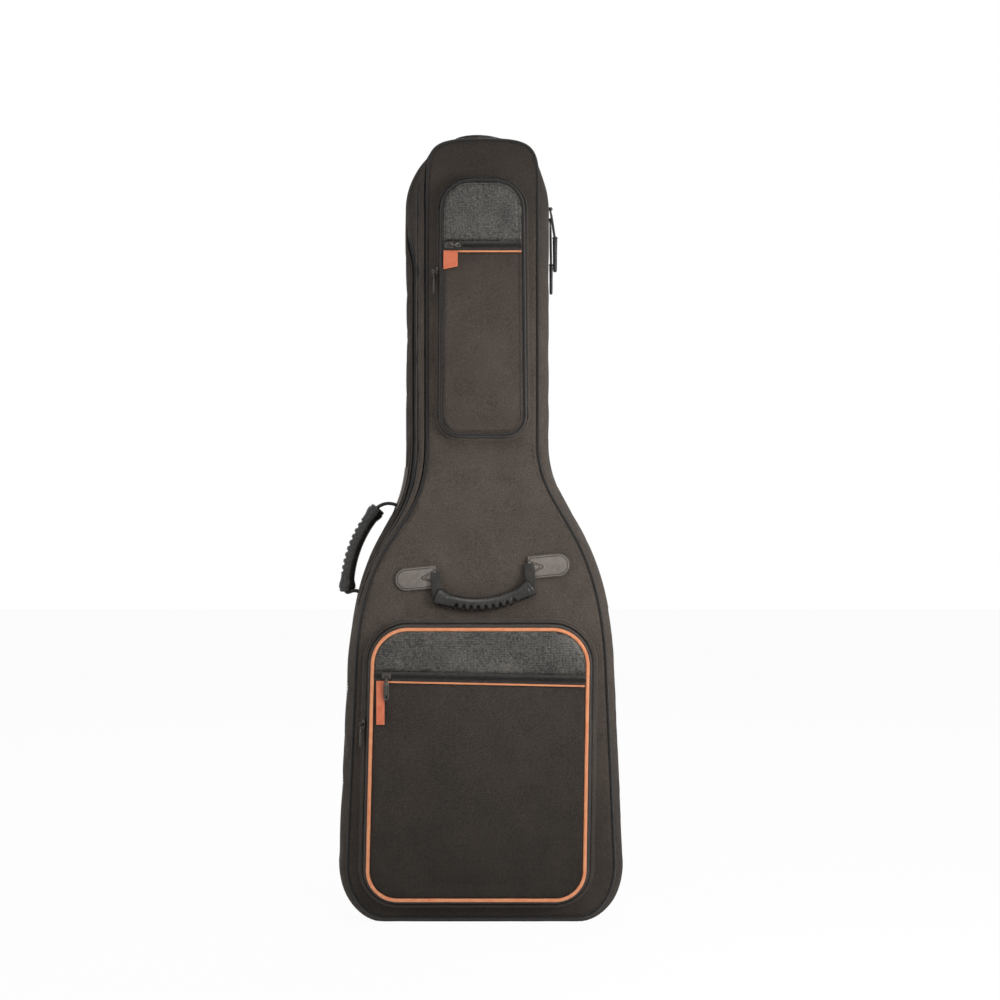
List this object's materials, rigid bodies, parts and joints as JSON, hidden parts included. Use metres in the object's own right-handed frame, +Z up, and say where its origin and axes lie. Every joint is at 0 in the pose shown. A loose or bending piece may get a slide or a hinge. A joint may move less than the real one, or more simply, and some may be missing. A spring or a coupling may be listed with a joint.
{
  "type": "padded guitar gig bag",
  "caption": "Upright padded guitar gig bag: book-opening shell with main zip, two boxed front pockets, moulded front and side handles, padded back straps.",
  "frame": {"origin": "on the flat bottom the bag stands on, midway across its body, in the plane of the main zip", "axes": "+Z up the bag towards the head, +X to the right as seen from the front, the lid and its pockets face -Y, the straps +Y"},
  "size_m": [0.3803, 0.144, 1.05],
  "materials": {
    "shell_fabric": "matte",
    "pocket_fabric": "matte",
    "foam": "matte",
    "plush_lining": "matte",
    "zip_tape": "matte",
    "dark_piping": "satin",
    "orange_piping": "satin",
    "orange_label": "satin",
    "embossed_vinyl": "satin",
    "patch_leather": "satin",
    "webbing": "matte",
    "grip_rubber": "satin",
    "slider_metal": "satin",
    "pull_rubber": "satin",
    "strap_pad": "matte",
    "hard_plastic": "satin"
  },
  "bodies": {
    "back_half": {"back_panel": "shell_fabric", "back_foam": "foam", "back_lining": "plush_lining", "back_gusset": "shell_fabric", "back_gusset_padding": "foam", "back_zip_tape": "zip_tape", "back_piping": "dark_piping", "neck_cradle": "plush_lining", "neck_strap": "webbing", "end_pad": "plush_lining", "side_handle_anchors": "webbing", "strap_anchors": "webbing", "strap_rings": "hard_plastic"},
    "lid": {"front_panel": "shell_fabric", "front_foam": "foam", "front_lining": "plush_lining", "front_gusset": "shell_fabric", "front_gusset_padding": "foam", "front_zip_tape": "zip_tape", "front_piping": "dark_piping", "lower_pocket_gusset": "pocket_fabric", "lower_pocket_face": "pocket_fabric", "lower_pocket_piping": "orange_piping", "upper_pocket_gusset": "shell_fabric", "upper_pocket_face": "shell_fabric", "upper_pocket_zip": "zip_tape", "upper_pocket_vinyl": "embossed_vinyl", "upper_pocket_piping": "dark_piping", "upper_pocket_trim": "orange_piping", "upper_pocket_label": "orange_label", "handle_patches": "patch_leather"},
    "pocket_flap": {"flap_gusset": "pocket_fabric", "flap_face": "pocket_fabric", "flap_zip": "zip_tape", "flap_vinyl": "embossed_vinyl", "flap_piping": "orange_piping", "flap_trim": "orange_piping", "flap_label": "orange_label"},
    "front_handle": {"front_handle_grip": "grip_rubber", "front_handle_webbing": "webbing"},
    "side_handle": {"side_handle_grip": "grip_rubber", "side_handle_webbing": "webbing"},
    "head_slider": {"main_slider_upper": "slider_metal"},
    "head_pull": {"main_pull_upper": "pull_rubber"},
    "neck_slider": {"main_slider_lower": "slider_metal"},
    "neck_pull": {"main_pull_lower": "pull_rubber"},
    "upper_zip_slider_body": {"upper_zip_slider": "slider_metal"},
    "upper_zip_pull_body": {"upper_zip_pull": "slider_metal"},
    "upper_side_slider_body": {"upper_side_slider": "slider_metal"},
    "upper_side_pull_body": {"upper_side_pull": "slider_metal"},
    "front_zip_slider_body": {"front_zip_slider": "slider_metal"},
    "front_zip_pull_body": {"front_zip_pull": "slider_metal"},
    "lower_side_slider_body": {"lower_side_slider": "slider_metal"},
    "lower_side_pull_body": {"lower_side_pull": "slider_metal"},
    "left_strap": {"left_strap_pad": "strap_pad", "left_strap_webbing": "webbing", "left_strap_buckle": "hard_plastic"},
    "right_strap": {"right_strap_pad": "strap_pad", "right_strap_webbing": "webbing", "right_strap_buckle": "hard_plastic"}
  },
  "joints": [
    {"name": "lid_hinge", "type": "hinge", "parent": "back_half", "child": "lid", "pos_m": [0.18319, 0, 0.2], "axis": [-0.0442, 0, 0.999], "range_deg": [0, 165]},
    {"name": "flap_hinge", "type": "hinge", "parent": "lid", "child": "pocket_flap", "pos_m": [0, -0.0765, 0.256], "axis": [1, 0, 0], "range_deg": [0, 100]},
    {"name": "front_handle_hinge", "type": "hinge", "parent": "lid", "child": "front_handle", "pos_m": [0.002, -0.0511, 0.467], "axis": [-0.9954, 0, -0.0958], "range_deg": [0, 160]},
    {"name": "side_handle_hinge", "type": "hinge", "parent": "back_half", "child": "side_handle", "pos_m": [-0.11814, 0.02, 0.5602], "axis": [-0.4001, 0, -0.9165], "range_deg": [-35, 35]},
    {"name": "head_slider_run", "type": "hinge", "parent": "back_half", "child": "head_slider", "pos_m": [-0.006, 0, 0.956], "axis": [0, -1, 0], "range_deg": [0, 180]},
    {"name": "head_pull_swing", "type": "hinge", "parent": "head_slider", "child": "head_pull", "pos_m": [0.0934, 0, 0.956], "axis": [0, -1, 0], "range_deg": [0, 160]},
    {"name": "neck_slider_run", "type": "slide", "parent": "back_half", "child": "neck_slider", "axis": [0, 0, -1], "range_m": [0, 0.225]},
    {"name": "neck_pull_swing", "type": "hinge", "parent": "neck_slider", "child": "neck_pull", "pos_m": [0.0934, 0, 0.941], "axis": [0, -1, 0], "range_deg": [0, 160]},
    {"name": "upper_zip_run", "type": "slide", "parent": "lid", "child": "upper_zip_slider_body", "axis": [1, 0, 0], "range_m": [0, 0.082]},
    {"name": "upper_zip_pull_swing", "type": "hinge", "parent": "upper_zip_slider_body", "child": "upper_zip_pull_body", "pos_m": [-0.04201, -0.0724, 0.8995], "axis": [0, 0, -1], "range_deg": [0, 160]},
    {"name": "upper_side_zip_run", "type": "slide", "parent": "lid", "child": "upper_side_slider_body", "axis": [-0.0059, 0, -1], "range_m": [0, 0.17]},
    {"name": "upper_side_pull_swing", "type": "hinge", "parent": "upper_side_slider_body", "child": "upper_side_pull_body", "pos_m": [-0.06289, -0.05745, 0.8665], "axis": [-0.3304, 0.9439, 0], "range_deg": [0, 160]},
    {"name": "front_zip_run", "type": "slide", "parent": "pocket_flap", "child": "front_zip_slider_body", "axis": [0.9998, 0, -0.0212], "range_m": [0, 0.245]},
    {"name": "front_zip_pull_swing", "type": "hinge", "parent": "front_zip_slider_body", "child": "front_zip_pull_body", "pos_m": [-0.12452, -0.0804, 0.33064], "axis": [-1, 0, 0], "range_deg": [0, 160]},
    {"name": "lower_side_zip_run", "type": "slide", "parent": "pocket_flap", "child": "lower_side_slider_body", "axis": [0.0238, 0, 0.9997], "range_m": [0, 0.068]},
    {"name": "lower_side_pull_swing", "type": "hinge", "parent": "lower_side_slider_body", "child": "lower_side_pull_body", "pos_m": [-0.15928, -0.0619, 0.266], "axis": [-0.4599, 0.888, 0], "range_deg": [0, 160]},
    {"name": "left_strap_hinge", "type": "hinge", "parent": "back_half", "child": "left_strap", "pos_m": [-0.037, 0.05, 0.609], "axis": [1, 0, 0], "range_deg": [0, 12]},
    {"name": "right_strap_hinge", "type": "hinge", "parent": "back_half", "child": "right_strap", "pos_m": [0.031, 0.05, 0.609], "axis": [1, 0, 0], "range_deg": [0, 12]}
  ]
}
